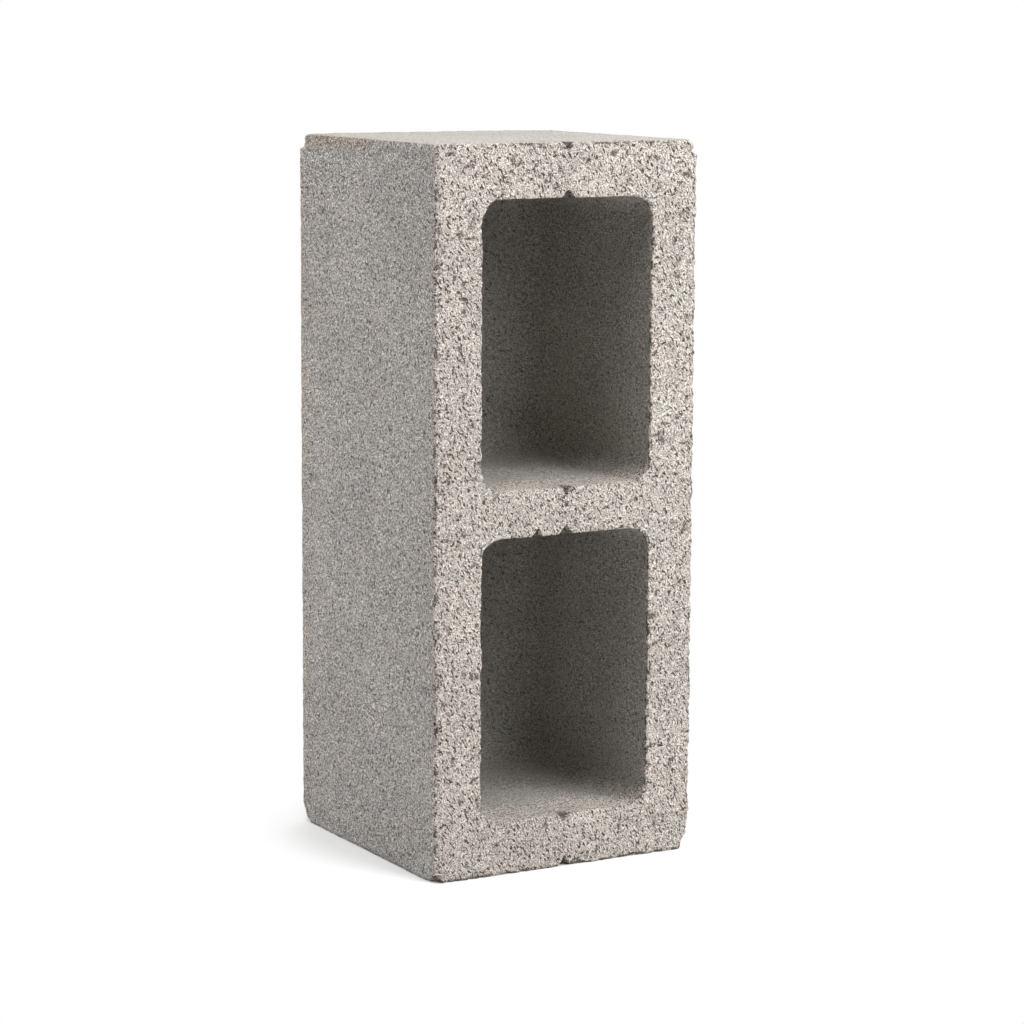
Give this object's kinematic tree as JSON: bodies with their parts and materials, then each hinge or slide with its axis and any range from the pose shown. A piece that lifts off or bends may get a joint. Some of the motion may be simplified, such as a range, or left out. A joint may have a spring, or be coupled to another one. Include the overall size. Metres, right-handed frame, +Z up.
{
  "type": "hollow concrete block",
  "caption": "Hollow concrete block standing on end, its two rounded oblong cells open on one bed face and closed on the other, with thick shells and webs.",
  "frame": {"origin": "middle of the end face that the block stands on, at floor level", "axes": "+Z up along the block's length; -Y is the way the open bed face and the cells' mouths look; X runs across the two face shells"},
  "size_m": [0.2, 0.2, 0.49],
  "materials": {
    "concrete": "matte"
  },
  "bodies": {
    "root": {"block": "concrete"}
  },
  "joints": []
}
